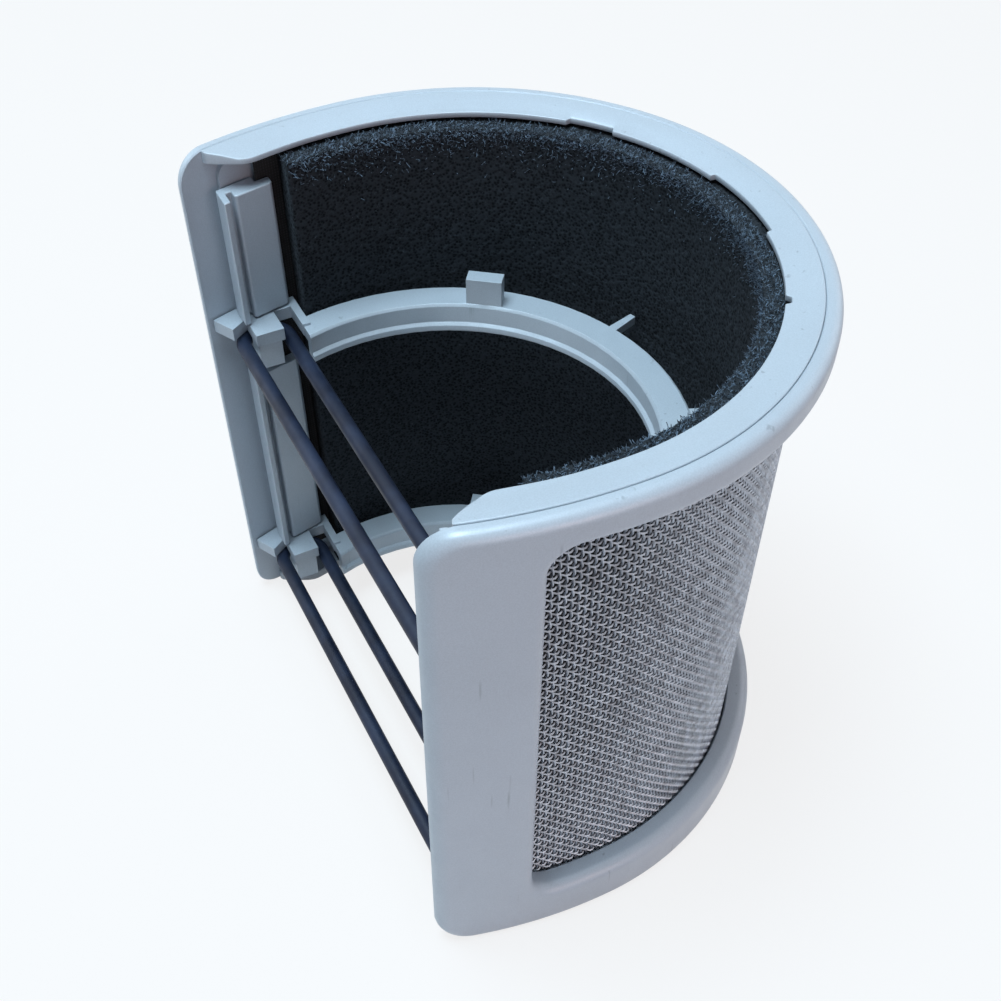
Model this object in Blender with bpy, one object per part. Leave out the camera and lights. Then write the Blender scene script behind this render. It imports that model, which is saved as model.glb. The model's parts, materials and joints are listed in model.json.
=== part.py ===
"""Microphone isolation shield: a C-shaped plastic shell with a wire-mesh window, lined with foam.

Two cradle rings inside it guide the microphone, and two rubber bands across the open front hold it.
The open front faces -Y, the shield stands on the XY plane, and +Z is up. Sizes are in millimetres.
"""

import math

import bmesh
import bpy
from mathutils import Vector

MM = 0.001

# Overall plan: a three-centred arch, drafted so that the bottom is smaller than the top.
HEIGHT = 90.0
BACK_RADIUS = 48.5
SIDE_RADIUS = 82.0
FRONT_REACH = 27.0
DRAFT = 2.0
ARCH_Y = (FRONT_REACH - BACK_RADIUS) / 2

# Clearances between separate pieces.
FIT_GAP = 0.3
BAND_GAP = 0.5

# Shell: thin cheeks, a thicker border round the window, and rounded edges.
CHEEK_WALL = 2.4
BORDER_WALL = 3.7
BORDER_FROM_FRONT = 6.0
CHEEK_CORNER = 5.0
EDGE_ROUND = 1.6
INNER_CHAMFER = 0.4
WINDOW_FROM_FRONT = 14.0
WINDOW_FROM_TOP = 5.3
WINDOW_FROM_BOTTOM = 9.0
WINDOW_CORNER = 4.0
WINDOW_ROUND = 1.8

# Covers: flat C-shaped plates that close the top and the bottom of the lining.
COVER_THICK = 1.9
COVER_WIDTH = 4.7
NOSE_SWELL = 0.2
NOSE_LENGTH = 7.2
NOSE_TIP_WIDTH = 0.2
NOSE_RUN_UP = 1.25
NOSE_FROM_FRONT = 4.3
COVER_CHAMFER = 0.35
NOTCH_DEPTH = 0.8
NOTCH_FLANK = 0.2
NOTCHES = ((-38.0, 8.6), (4.2, 18.4), (37.0, 1.8))

# Layers behind the window, from the outside in.
MESH_THICK = 0.6
GAUZE_THICK = 0.3
FOAM_THICK = 4.7
MESH_MARGIN = 2.6
FOAM_FROM_HOOKS = 0.3

# Cradle rings: an angle section with a bead along its lower inner edge.
RING_TOPS = (12.5, 61.5)
RING_CENTRE_Y = -5.0
RING_FOAM_GAP = 0.75
RING_WIDTH = 5.2
RING_PLATE = 2.0
RING_DEPTH = 5.0
RING_WEB = 1.6
RING_BEAD = 0.6
RING_BEAD_HEIGHT = 1.7
BLOCK_ANGLE = 53.0
BLOCK_SIZE = (5.8, 2.6, 4.6)
SPIKE_ANGLE = 18.0
SPIKE_SIZE = (1.6, 1.5)

# Hooks at the ends of each ring, and the plate that carries them.
HOOK_RISE = 0.5
HOOK_PLATE = 2.2
HOOK_DROP = 6.8
HOOK_HALF_WIDTH = 2.3
HOOK_FLAT = 1.8
ARM_OVERHANG = 0.8
SLOT_FROM_HOOK = 2.4
TAB_WIDTH = 1.3
WING_TIP = (0.6, 2.7)
WING_FRONT_GAP = 1.0

# Rubber bands: round cord, looped over a hook on each side.
BAND_RADIUS = 1.2
BAND_SLACK = 0.2
BAND_FROM_FRONT = 8.0
BAND_LET_GO = 0.4

# Clamp bars: they trap the ends of the mesh against the border of the window.
BAR_INSET = 7.4
BAR_FROM_FRONT = 7.0
BAR_WIDTH = 6.4
BAR_GROOVE = 0.9
BAR_RIB = 1.1
BAR_RIB_RISE = 0.7
BAR_TOP = 84.0

# How finely curves are cut up.
BACK_STEPS = 40
CORNER_STEPS = 10
CORNER_LEAD = 4
CORNER_TAIL = 2
UPRIGHT_STEPS = 5
ROUND_STEPS = 3
COVER_STEPS = 56
LINING_STEPS = 44
RING_STEPS = 40
BAND_END_STEPS = 14
BAND_SIDES = 12

# Values that follow from the ones above.
BACK_LENGTH = BACK_RADIUS * math.pi / 2
SIDE_LENGTH = SIDE_RADIUS * math.asin(FRONT_REACH / SIDE_RADIUS)
COVER_INSET = CHEEK_WALL + FIT_GAP
MESH_INSET = BORDER_WALL + FIT_GAP
GAUZE_INSET = MESH_INSET + MESH_THICK + FIT_GAP
FOAM_INSET = GAUZE_INSET + GAUZE_THICK + FIT_GAP
FOAM_INNER = FOAM_INSET + FOAM_THICK
MESH_END_Y = -FRONT_REACH + WINDOW_FROM_FRONT - MESH_MARGIN
BAND_Y = -FRONT_REACH + BAND_FROM_FRONT
BAND_SPREAD = HOOK_HALF_WIDTH + BAND_SLACK + BAND_RADIUS
BAND_DROP = HOOK_PLATE - HOOK_RISE + FIT_GAP + BAND_RADIUS
BAND_TRAVEL = HOOK_DROP - BAND_DROP + BAND_RADIUS + BAND_LET_GO
SLOT_END_Y = BAND_Y + BAND_SPREAD + BAND_RADIUS + FIT_GAP
HOOKS_BACK_Y = SLOT_END_Y + TAB_WIDTH


def draft(z):
    """How far the plan has shrunk at height z."""
    return DRAFT * (1 - z / HEIGHT)


def place(x, y, z):
    """A point of the arch's own plan, moved so that the origin is under the middle of the object."""
    return Vector((x, y + ARCH_Y, z)) * MM


def on_arch(s, inset, z):
    """The point at length s along the outer arch (0 at the back), inset from its face, at height z."""
    lost = inset + draft(z)
    if abs(s) <= BACK_LENGTH:
        angle = s / BACK_RADIUS
        radius = BACK_RADIUS - lost
        return place(radius * math.sin(angle), radius * math.cos(angle), z)
    radius = SIDE_RADIUS - lost
    share = (abs(s) - BACK_LENGTH) / SIDE_LENGTH
    angle = share * math.asin(FRONT_REACH / radius)
    x = radius * math.cos(angle) - (SIDE_RADIUS - BACK_RADIUS)
    return place(math.copysign(x, s), -radius * math.sin(angle), z)


def wall_x(y, inset, z):
    """How far out the side wall's inset face lies at a plan position y in front of the back arc."""
    radius = SIDE_RADIUS - inset - draft(z)
    return math.sqrt(radius**2 - y**2) - (SIDE_RADIUS - BACK_RADIUS)


def length_at(y):
    """The length along the outer arch at which its side reaches a plan position y."""
    return BACK_LENGTH + SIDE_RADIUS * math.asin(-y / SIDE_RADIUS)


def between(low, high, steps):
    """Evenly spaced values from low to high, both included."""
    return [low + (high - low) * i / steps for i in range(steps + 1)]


def clear_scene():
    """Remove whatever the file holds."""
    for obj in list(bpy.data.objects):
        bpy.data.objects.remove(obj)


def material(name, colour, roughness, metallic=0.0):
    """A plain Principled BSDF material."""
    made = bpy.data.materials.new(name)
    made.use_nodes = True
    shader = made.node_tree.nodes["Principled BSDF"]
    shader.inputs["Base Color"].default_value = (*colour, 1.0)
    shader.inputs["Roughness"].default_value = roughness
    shader.inputs["Metallic"].default_value = metallic
    return made


def add_object(name, verts, faces, finish=None, helper=False):
    """Make an object from points and faces, with its faces turned outwards and its round parts smooth."""
    mesh = bpy.data.meshes.new(name)
    mesh.from_pydata([tuple(v) for v in verts], [], faces)
    work = bmesh.new()
    work.from_mesh(mesh)
    bmesh.ops.recalc_face_normals(work, faces=work.faces)
    work.to_mesh(mesh)
    work.free()
    mesh.shade_smooth()
    mesh.set_sharp_from_angle(angle=math.radians(35))
    obj = bpy.data.objects.new(name, mesh)
    bpy.context.scene.collection.objects.link(obj)
    if finish:
        mesh.materials.append(finish)
    if helper:
        obj.hide_render = True
        obj.display_type = "WIRE"
    return obj


def loft(rows, closed_rows):
    """Points and faces of a skin through equal rows of points, each row a closed outline.

    The rows themselves form a closed loop, or else the first and the last are capped.
    """
    count = len(rows[0])
    verts = [point for row in rows for point in row]
    faces = []
    pairs = len(rows) if closed_rows else len(rows) - 1
    for i in range(pairs):
        here, there = i * count, (i + 1) % len(rows) * count
        for j in range(count):
            k = (j + 1) % count
            faces.append((here + j, here + k, there + k, there + j))
    if not closed_rows:
        faces.append(tuple(range(count)))
        faces.append(tuple(range(len(verts) - count, len(verts))))
    return verts, faces


def prism(outline, low, high):
    """Points and faces of a plan outline stood up from low to high."""
    rows = [[place(x, y, z) for x, y in outline] for z in (low, high)]
    return loft(rows, closed_rows=False)


def both_sides(shape):
    """A shape with its mirror image across the YZ plane, as one list of points and faces."""
    verts, faces = shape
    mirrored = [Vector((-v.x, v.y, v.z)) for v in verts]
    return verts + mirrored, faces + [tuple(len(verts) + i for i in face) for face in faces]


def several(shapes):
    """Separate shapes as one list of points and faces."""
    verts, faces = [], []
    for more_verts, more_faces in shapes:
        faces += [tuple(len(verts) + i for i in face) for face in more_faces]
        verts += more_verts
    return verts, faces


def unite(obj, name, shape):
    """Join a helper shape to an object."""
    helper = add_object(name, *shape, helper=True)
    join = obj.modifiers.new(name, "BOOLEAN")
    join.operation = "UNION"
    join.object = helper


def corner_run(start, end, corner, radius, window):
    """Points between a long edge and an upright edge, in (s, z), both ends left out.

    The window's corner is one arc. The others run straight, turn, and run straight again, so that
    each point faces the window's point with the same number.
    """
    turn_s = math.copysign(1, corner[0] - start[0])
    turn_z = math.copysign(1, end[1] - corner[1])
    centre = (corner[0] - turn_s * radius, corner[1] + turn_z * radius)

    def arc(steps):
        """Points of the rounded corner, both ends included."""
        return [
            (centre[0] + turn_s * radius * math.sin(a), centre[1] - turn_z * radius * math.cos(a))
            for a in between(0, math.pi / 2, steps)
        ]

    if window:
        return arc(CORNER_STEPS)[1:-1]
    lead, tail = CORNER_LEAD, CORNER_TAIL
    turn = arc(CORNER_STEPS - lead - tail)
    first = [start[0] + (turn[0][0] - start[0]) * i / lead for i in range(1, lead)]
    last = [turn[-1][1] + (end[1] - turn[-1][1]) * i / tail for i in range(1, tail)]
    return [(s, start[1]) for s in first] + turn + [(end[0], z) for z in last]


def frame_loop(from_front, from_top, from_bottom, radius, window=False):
    """A closed loop in (s, z) around the window, with its points facing the window's own."""
    edge = length_at(-FRONT_REACH + from_front)
    low, high = from_bottom, HEIGHT - from_top
    long_end = length_at(-FRONT_REACH + WINDOW_FROM_FRONT + WINDOW_CORNER)
    upright_low = WINDOW_FROM_BOTTOM + WINDOW_CORNER
    upright_high = HEIGHT - WINDOW_FROM_TOP - WINDOW_CORNER
    long_run = between(-long_end, long_end, BACK_STEPS)
    upright = between(upright_high, upright_low, UPRIGHT_STEPS)
    loop = [(s, high) for s in long_run]
    loop += corner_run((long_end, high), (edge, upright_high), (edge, high), radius, window)
    loop += [(edge, z) for z in upright]
    low_right = corner_run((long_end, low), (edge, upright_low), (edge, low), radius, window)
    loop += low_right[::-1]
    loop += [(-s, low) for s in long_run]
    loop += corner_run((-long_end, low), (-edge, upright_low), (-edge, low), radius, window)
    loop += [(-edge, z) for z in upright[::-1]]
    high_left = corner_run((-long_end, high), (-edge, upright_high), (-edge, high), radius, window)
    return loop + high_left[::-1]


def window_loop(grown):
    """The window's edge, moved outwards by grown."""
    return frame_loop(
        WINDOW_FROM_FRONT - grown,
        WINDOW_FROM_TOP - grown,
        WINDOW_FROM_BOTTOM - grown,
        WINDOW_CORNER + grown,
        window=True,
    )


def rim_loop(shrunk):
    """The shell's own outline, moved inwards by shrunk."""
    return frame_loop(shrunk, shrunk, shrunk, CHEEK_CORNER - shrunk)


def border_loop():
    """Where the thick border starts: it is also the ledge that carries each cover."""
    ledge = COVER_THICK + FIT_GAP
    return frame_loop(BORDER_FROM_FRONT, ledge, ledge, CHEEK_CORNER - ledge)


def mix_loops(first, second, share):
    """A loop that lies between two others."""
    return [
        (a[0] + (b[0] - a[0]) * share, a[1] + (b[1] - a[1]) * share)
        for a, b in zip(first, second)
    ]


def shell_section():
    """The shell's wall in section, from the window's edge out, round the rim and back: (loop, inset)."""
    quarter = between(0, math.pi / 2, ROUND_STEPS)
    section = [
        (window_loop(WINDOW_ROUND * (1 - math.cos(a))), WINDOW_ROUND * (1 - math.sin(a)))
        for a in quarter
    ]
    face_start, face_end = window_loop(WINDOW_ROUND), rim_loop(EDGE_ROUND)
    section += [(mix_loops(face_start, face_end, share), 0.0) for share in (1 / 3, 2 / 3)]
    section += [
        (rim_loop(EDGE_ROUND * (1 - math.sin(a))), EDGE_ROUND * (1 - math.cos(a)))
        for a in quarter
    ]
    section.append((rim_loop(0), CHEEK_WALL - INNER_CHAMFER))
    section.append((rim_loop(INNER_CHAMFER), CHEEK_WALL))
    section.append((border_loop(), CHEEK_WALL))
    section.append((border_loop(), BORDER_WALL))
    inner_edge = window_loop(INNER_CHAMFER)
    section.append((mix_loops(border_loop(), inner_edge, 0.5), BORDER_WALL))
    section.append((inner_edge, BORDER_WALL))
    section.append((window_loop(0), BORDER_WALL - INNER_CHAMFER))
    return section


def make_shell(finish):
    """The outer shell: both cheeks, the top and bottom bands and the window, in one moulding."""
    rows = [[on_arch(s, inset, z) for s, z in loop] for loop, inset in shell_section()]
    return add_object("outer_shell", *loft(rows, closed_rows=True), finish)


def cover_inner_inset(s):
    """The inset of a cover's inner edge: wide along the arch, with a rounded nose and shallow notches."""
    width = COVER_WIDTH
    nose_end = length_at(-FRONT_REACH + NOSE_FROM_FRONT)
    share = (abs(s) - (nose_end - NOSE_LENGTH)) / NOSE_LENGTH
    swell = max(0.0, min(1.0, 1 + share / NOSE_RUN_UP))
    width += NOSE_SWELL * swell**2 * (3 - 2 * swell)
    if share > 0:
        share = min(share, 1.0)
        fall = 0.75 - 0.25 * math.cos(math.pi * share) - 0.5 * math.sqrt(1 - share * share)
        width -= (width - NOSE_TIP_WIDTH) * fall
    for angle, length in NOTCHES:
        if abs(s - math.radians(angle) * BACK_RADIUS) < length / 2:
            width -= NOTCH_DEPTH
    return COVER_INSET + width


def cover_stations():
    """Lengths along the arch at which a cover is cut, with close pairs at each notch's flanks."""
    nose_end = length_at(-FRONT_REACH + NOSE_FROM_FRONT)
    nose_start = nose_end - NOSE_LENGTH
    found = between(-nose_start, nose_start, COVER_STEPS)
    found += [side * s for side in (-1, 1) for s in between(nose_start, nose_end, 9)[1:]]
    for angle, length in NOTCHES:
        middle = math.radians(angle) * BACK_RADIUS
        for end in (middle - length / 2, middle + length / 2):
            found = [s for s in found if abs(s - end) > 2 * NOTCH_FLANK]
            found += [end - NOTCH_FLANK, end + NOTCH_FLANK]
    return sorted(found)


def make_cover(name, low, finish):
    """A C-shaped plate that rests on the shell's ledge and covers the lining's edge."""
    high = low + COVER_THICK
    rows = []
    for s in cover_stations():
        inner = cover_inner_inset(s)
        chamfer = min(COVER_CHAMFER, 0.2 * (inner - COVER_INSET))
        section = [
            (COVER_INSET, low + chamfer),
            (COVER_INSET, high - chamfer),
            (COVER_INSET + chamfer, high),
            (inner - chamfer, high),
            (inner, high - chamfer),
            (inner, low + chamfer),
            (inner - chamfer, low),
            (COVER_INSET + chamfer, low),
        ]
        rows.append([on_arch(s, inset, z) for inset, z in section])
    return add_object(name, *loft(rows, closed_rows=False), finish)


def make_layer(name, inset, thick, end, low, high, finish):
    """A sheet of even thickness that follows the arch."""
    section = [(inset, low), (inset, high), (inset + thick, high), (inset + thick, low)]
    stations = between(-end, end, LINING_STEPS)
    rows = [[on_arch(s, i, z) for i, z in section] for s in stations]
    return add_object(name, *loft(rows, closed_rows=False), finish)


def make_lining(mesh_finish, gauze_finish, foam_finish):
    """The wire mesh, the gauze behind it and the foam, from the outside in."""
    low = WINDOW_FROM_BOTTOM - MESH_MARGIN
    high = HEIGHT - WINDOW_FROM_TOP + MESH_MARGIN
    mesh_end = length_at(MESH_END_Y)
    make_layer("mesh_screen", MESH_INSET, MESH_THICK, mesh_end, low, high, mesh_finish)
    make_layer("inner_gauze", GAUZE_INSET, GAUZE_THICK, mesh_end, low, high, gauze_finish)
    foam_end = length_at(HOOKS_BACK_Y + FOAM_FROM_HOOKS)
    edge = COVER_THICK + FIT_GAP
    make_layer("foam_liner", FOAM_INSET, FOAM_THICK, foam_end, edge, HEIGHT - edge, foam_finish)


def ring_radius(top):
    """A ring's outer radius: the room inside the foam at that height."""
    return BACK_RADIUS - draft(top) - FOAM_INNER - RING_FOAM_GAP


def hook_x(top):
    """How far out a hook's axis lies, so that the band clears the border behind it."""
    reach = BAND_GAP + BAND_SPREAD + BAND_RADIUS
    return wall_x(BAND_Y, BORDER_WALL, top - BAND_DROP) - reach


def ring_section(top):
    """The ring's angle section as (radius, height) points."""
    outer = ring_radius(top)
    inner = outer - RING_WIDTH
    bottom = top - RING_DEPTH
    bead = bottom + RING_BEAD_HEIGHT
    small = INNER_CHAMFER
    return [
        (outer, top - small),
        (outer - small, top),
        (inner + small, top),
        (inner, top - small),
        (inner, bead),
        (inner - RING_BEAD, bead - small),
        (inner - RING_BEAD, bottom + small),
        (inner - RING_BEAD + small, bottom),
        (inner + RING_WEB, bottom),
        (inner + RING_WEB, top - RING_PLATE),
        (outer, top - RING_PLATE),
    ]


def ring_end_angle(radius):
    """The angle, measured from +X, at which a circle of the ring meets its flat end behind the band."""
    end_y = BAND_Y + BAND_SPREAD + BAND_RADIUS + BAND_GAP
    return math.asin((end_y - RING_CENTRE_Y) / radius)


def ring_body(top):
    """The ring itself, from one end round the back to the other."""
    rows = []
    for share in between(0, 1, RING_STEPS):
        row = []
        for radius, z in ring_section(top):
            start = ring_end_angle(radius)
            angle = start + (math.pi - 2 * start) * share
            row.append(
                place(radius * math.cos(angle), RING_CENTRE_Y + radius * math.sin(angle), z)
            )
        rows.append(row)
    return loft(rows, closed_rows=False)


def hook_plate(top):
    """The plate at the ring's right end, in plan: a tab to the ring, the hook's arm and the wing."""
    low = top + HOOK_RISE - HOOK_PLATE
    arm_x = hook_x(top) - HOOK_FLAT - ARM_OVERHANG
    slot_x = hook_x(top) + SLOT_FROM_HOOK
    arm_half = HOOK_HALF_WIDTH
    border_y = -FRONT_REACH + BORDER_FROM_FRONT
    step_y = border_y - FIT_GAP
    front = -FRONT_REACH + WING_FRONT_GAP
    ring_x = ring_radius(top) - RING_WIDTH + RING_WEB
    outer = [(wall_x(y, FOAM_INSET, low), y) for y in between(HOOKS_BACK_Y, MESH_END_Y - FIT_GAP, 3)]
    outer += [
        (wall_x(y, MESH_INSET, low), y)
        for y in between(MESH_END_Y - FIT_GAP, step_y, 4)
    ]
    outer += [(wall_x(y, COVER_INSET, low), y) for y in between(step_y, front, 4)]
    wing_tip = (hook_x(top) + WING_TIP[0], BAND_Y - BAND_SPREAD - WING_TIP[1] / 2)
    inner = [
        wing_tip,
        (slot_x, BAND_Y - arm_half),
        (arm_x, BAND_Y - arm_half),
        (arm_x, BAND_Y + arm_half),
        (slot_x, BAND_Y + arm_half),
        (slot_x, SLOT_END_Y),
        (ring_x, SLOT_END_Y),
        (ring_x, HOOKS_BACK_Y),
    ]
    return prism(outer + inner, low, low + HOOK_PLATE)


def hook_leg(top):
    """The right hook's leg: round towards the cheek, where the band bears, and flat towards the middle."""
    centre = hook_x(top)
    outline = [
        (centre + HOOK_HALF_WIDTH * math.cos(a), BAND_Y + HOOK_HALF_WIDTH * math.sin(a))
        for a in between(-math.pi / 2, math.pi / 2, 10)
    ]
    outline += [
        (centre - HOOK_FLAT, BAND_Y + HOOK_HALF_WIDTH - INNER_CHAMFER),
        (centre - HOOK_FLAT, BAND_Y - HOOK_HALF_WIDTH + INNER_CHAMFER),
    ]
    return prism(outline, top - HOOK_DROP, top + HOOK_RISE - HOOK_PLATE / 2)


def on_ring(angle, radius, along):
    """A plan point at an angle from the ring's back, at a radius, moved along the ring by along."""
    a = math.radians(angle)
    x = radius * math.sin(a) + along * math.cos(a)
    return x, RING_CENTRE_Y + radius * math.cos(a) - along * math.sin(a)


def ring_block(top):
    """A block that stands on the ring's inner edge."""
    width, deep, tall = BLOCK_SIZE
    inner = ring_radius(top) - RING_WIDTH + INNER_CHAMFER
    corners = ((inner, -1), (inner, 1), (inner + deep, 1), (inner + deep, -1))
    outline = [on_ring(BLOCK_ANGLE, radius, side * width / 2) for radius, side in corners]
    return prism(outline, top - RING_PLATE / 2, top + tall)


def ring_spike(top):
    """A short spike that reaches from the ring to the foam."""
    width, deep = SPIKE_SIZE
    foam = BACK_RADIUS - draft(top) - FOAM_INNER - FIT_GAP
    tip = foam - RING_CENTRE_Y * math.cos(math.radians(SPIKE_ANGLE)) - FIT_GAP
    root = ring_radius(top) - RING_WEB
    outline = [
        on_ring(SPIKE_ANGLE, root, -width / 2),
        on_ring(SPIKE_ANGLE, root, width / 2),
        on_ring(SPIKE_ANGLE, tip, width / 3),
        on_ring(SPIKE_ANGLE, tip, -width / 3),
    ]
    return prism(outline, top - INNER_CHAMFER - deep, top - INNER_CHAMFER)


def make_ring(name, top, finish):
    """A cradle ring with its hook plates, hook legs, blocks and spikes, in one moulding."""
    ring = add_object(name, *ring_body(top), finish)
    unite(ring, name + "_plates", both_sides(hook_plate(top)))
    unite(ring, name + "_legs", both_sides(hook_leg(top)))
    unite(ring, name + "_studs", both_sides(several([ring_block(top), ring_spike(top)])))
    return ring


def bar_outline(z):
    """A right clamp bar in plan at height z: rebated over the mesh, with a groove and a rib in front."""
    rebate = MESH_END_Y - FIT_GAP
    front = -FRONT_REACH + BAR_FROM_FRONT
    back = front + BAR_WIDTH
    groove = front - BAR_GROOVE
    rib = groove - BAR_RIB
    rib_inset = BAR_INSET + BAR_RIB_RISE
    groove_inset = (MESH_INSET + BAR_INSET) / 2
    stops = [
        (back, FOAM_INSET),
        (rebate, FOAM_INSET),
        (rebate, MESH_INSET),
        (rib, MESH_INSET),
        (rib, rib_inset),
        (groove, rib_inset),
        (groove, groove_inset),
        (front, groove_inset),
        (front, BAR_INSET - INNER_CHAMFER),
        (front + INNER_CHAMFER, BAR_INSET),
        (back - INNER_CHAMFER, BAR_INSET),
        (back, BAR_INSET - INNER_CHAMFER),
    ]
    return [(wall_x(y, inset, z), y) for y, inset in stops]


def make_bars(finish):
    """Two clamp bars on each side: one above the upper hook and one between the hooks."""
    lower_ring, upper_ring = RING_TOPS
    over_plate = HOOK_RISE + FIT_GAP
    swept_low = upper_ring - BAND_DROP - BAND_RADIUS - BAND_TRAVEL
    spans = (
        ("lower_clamp_bar", lower_ring + over_plate, swept_low - BAND_GAP),
        ("upper_clamp_bar", upper_ring + over_plate, BAR_TOP),
    )
    for label, low, high in spans:
        for side, sign in (("left", -1), ("right", 1)):
            rows = [
                [place(sign * x, y, z) for x, y in bar_outline(z)]
                for z in between(low, high, 2)
            ]
            add_object(f"{side}_{label}", *loft(rows, closed_rows=False), finish)


def make_band(name, ring_top, finish):
    """A rubber band: a round cord in a long loop, over a hook at each end."""
    z = ring_top - BAND_DROP
    centre = hook_x(ring_top)
    path = []
    for side in (1, -1):
        for a in between(-math.pi / 2, math.pi / 2, BAND_END_STEPS):
            out = (side * math.cos(a), side * math.sin(a))
            path.append((side * centre + BAND_SPREAD * out[0], BAND_Y + BAND_SPREAD * out[1], out))
    rows = []
    for x, y, out in path:
        row = []
        for i in range(BAND_SIDES):
            a = 2 * math.pi * i / BAND_SIDES
            wide = BAND_RADIUS * math.cos(a)
            row.append(place(x + out[0] * wide, y + out[1] * wide, z + BAND_RADIUS * math.sin(a)))
        rows.append(row)
    return add_object(name, *loft(rows, closed_rows=True), finish)


def main():
    """Build every piece."""
    clear_scene()
    silver = material("silver_paint", (0.62, 0.66, 0.70), 0.38, 0.25)
    wire = material("mesh_wire", (0.66, 0.67, 0.70), 0.32, 0.9)
    black_cloth = material("black_gauze", (0.015, 0.015, 0.017), 0.95)
    black_foam = material("black_foam", (0.02, 0.02, 0.022), 1.0)
    rubber = material("band_rubber", (0.02, 0.025, 0.05), 0.55)

    make_shell(silver)
    make_cover("top_cover", HEIGHT - COVER_THICK, silver)
    make_cover("bottom_cover", 0.0, silver)
    make_lining(wire, black_cloth, black_foam)
    for label, top in zip(("lower", "upper"), RING_TOPS):
        make_ring(f"{label}_cradle_ring", top, silver)
        make_band(f"{label}_elastic_band", top, rubber)
    make_bars(silver)


main()
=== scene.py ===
"""The finished look of a microphone isolation shield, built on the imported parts.

A silver moulded shell with flat covers holds a woven-wire screen, a black gauze and a foam lining.
Two cradle rings and two rubber bands hold the microphone. Lengths are in metres.
"""
import json
import logging
import math
from dataclasses import dataclass
from enum import Enum

import bmesh
import bpy
import numpy as np
from mathutils import Matrix, Vector

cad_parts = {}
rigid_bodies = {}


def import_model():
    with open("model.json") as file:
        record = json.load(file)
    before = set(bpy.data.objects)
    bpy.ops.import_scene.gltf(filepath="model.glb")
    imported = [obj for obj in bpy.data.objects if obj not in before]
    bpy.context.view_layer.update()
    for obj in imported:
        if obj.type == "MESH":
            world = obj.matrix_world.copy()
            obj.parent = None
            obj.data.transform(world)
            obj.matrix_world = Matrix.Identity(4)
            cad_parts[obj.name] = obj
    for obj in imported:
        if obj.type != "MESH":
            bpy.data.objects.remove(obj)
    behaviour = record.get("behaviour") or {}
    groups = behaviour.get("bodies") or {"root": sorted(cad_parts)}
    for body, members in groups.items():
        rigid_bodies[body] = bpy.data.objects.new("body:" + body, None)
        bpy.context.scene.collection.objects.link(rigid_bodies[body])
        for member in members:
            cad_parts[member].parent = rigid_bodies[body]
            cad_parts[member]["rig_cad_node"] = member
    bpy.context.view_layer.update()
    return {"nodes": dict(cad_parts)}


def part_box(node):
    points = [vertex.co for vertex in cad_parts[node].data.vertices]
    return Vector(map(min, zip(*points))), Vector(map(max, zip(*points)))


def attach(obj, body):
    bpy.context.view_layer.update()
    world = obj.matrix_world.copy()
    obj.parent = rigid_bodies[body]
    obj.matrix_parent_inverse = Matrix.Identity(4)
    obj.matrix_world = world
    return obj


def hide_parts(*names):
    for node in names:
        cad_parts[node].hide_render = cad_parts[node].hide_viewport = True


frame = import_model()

LOG = logging.getLogger("shield")
MM = 0.001
SHIELD_BODY = "shield"


class Slot(Enum):
    """The record's material slots."""

    SILVER = "silver_plastic"
    WIRE = "mesh_wire"
    GAUZE = "black_gauze"
    FOAM = "black_foam"
    RUBBER = "band_rubber"


# --- shapes ------------------------------------------------------------------------------------


def grid_faces(rows: int, cols: int, wrap_rows: bool, wrap_cols: bool) -> np.ndarray:
    """Quads between neighbouring points of a grid.

    Args:
        rows: number of rows of points.
        cols: number of points in a row.
        wrap_rows: whether the last row joins the first.
        wrap_cols: whether each row is a closed loop.

    Returns:
        The quads' corner numbers, one quad a line.
    """
    i = np.arange(rows if wrap_rows else rows - 1)[:, None]
    j = np.arange(cols if wrap_cols else cols - 1)[None, :]
    here, there = i * cols, (i + 1) % rows * cols
    following = (j + 1) % cols
    return np.stack([here + j, here + following, there + following, there + j], -1).reshape(-1, 4)


def cap_fans(rows: int, cols: int) -> list[list[int]]:
    """The two end faces of a tube of rows closed loops with cols points each."""
    first = list(range(cols))
    last = list(range((rows - 1) * cols, rows * cols))
    return [first[::-1], last]


def signed_volume(points: np.ndarray, quads: np.ndarray) -> float:
    """Six times the volume inside the quads: positive when they face outwards."""
    a, b, c, d = (points[quads[:, k]] for k in range(4))
    return float((a * np.cross(b, c)).sum() + (a * np.cross(c, d)).sum())


def make_piece(
    name: str,
    points: np.ndarray,
    quads: np.ndarray,
    caps: list[list[int]] | None = None,
    sharp_deg: float = 40.0,
) -> bpy.types.Object:
    """A mesh object whose faces point outwards.

    Args:
        name: the piece's name.
        points: its points, in metres.
        quads: its quads.
        caps: further faces that close its ends.
        sharp_deg: edges that bend more than this stay sharp.

    Returns:
        The object, linked to the scene.
    """
    points = points.reshape(-1, 3)
    faces = quads.tolist() + (caps or [])
    if signed_volume(points - points.mean(0), quads) < 0:
        faces = [face[::-1] for face in faces]
    mesh = bpy.data.meshes.new(name)
    mesh.from_pydata(points.tolist(), [], faces)
    mesh.shade_smooth()
    mesh.set_sharp_from_angle(angle=math.radians(sharp_deg))
    piece = bpy.data.objects.new(name, mesh)
    bpy.context.scene.collection.objects.link(piece)
    return piece


def swept(name: str, rows: np.ndarray, closed: bool, sharp_deg: float = 40.0) -> bpy.types.Object:
    """A skin through equal closed loops: rows[i, j] is point j of loop i.

    Args:
        name: the piece's name.
        rows: points as (loops, points in a loop, 3).
        closed: whether the last loop joins the first. If not, both ends are capped.
        sharp_deg: edges that bend more than this stay sharp.

    Returns:
        The closed piece.
    """
    count, size = rows.shape[:2]
    quads = grid_faces(count, size, closed, True)
    caps = None if closed else cap_fans(count, size)
    return make_piece(name, rows, quads, caps, sharp_deg)


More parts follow.
